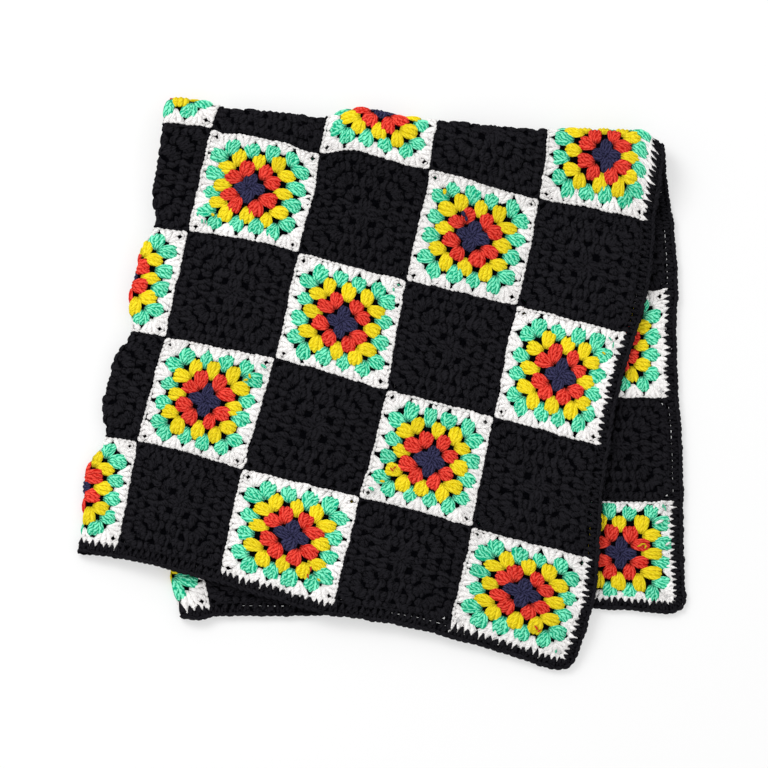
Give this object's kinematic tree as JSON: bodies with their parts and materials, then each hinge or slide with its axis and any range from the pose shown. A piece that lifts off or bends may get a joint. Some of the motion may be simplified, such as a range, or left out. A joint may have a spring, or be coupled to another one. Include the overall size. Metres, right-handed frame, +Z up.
{
  "type": "granny square blanket",
  "caption": "Crocheted throw blanket of joined granny squares in a checkerboard with a plain edging, lying folded in four.",
  "frame": {"origin": "middle of the folded blanket's box in plan, on the surface it lies on", "axes": "+Z up from the surface; +X to the right and +Y away from the viewer, towards the loose top fold"},
  "size_m": [0.6444, 0.6288, 0.0436],
  "materials": {
    "squares_yarn": "soft crocheted acrylic yarn",
    "edging_yarn": "soft black acrylic yarn"
  },
  "bodies": {
    "root": {"blanket_squares": "squares_yarn", "crochet_edging": "edging_yarn"}
  },
  "joints": []
}
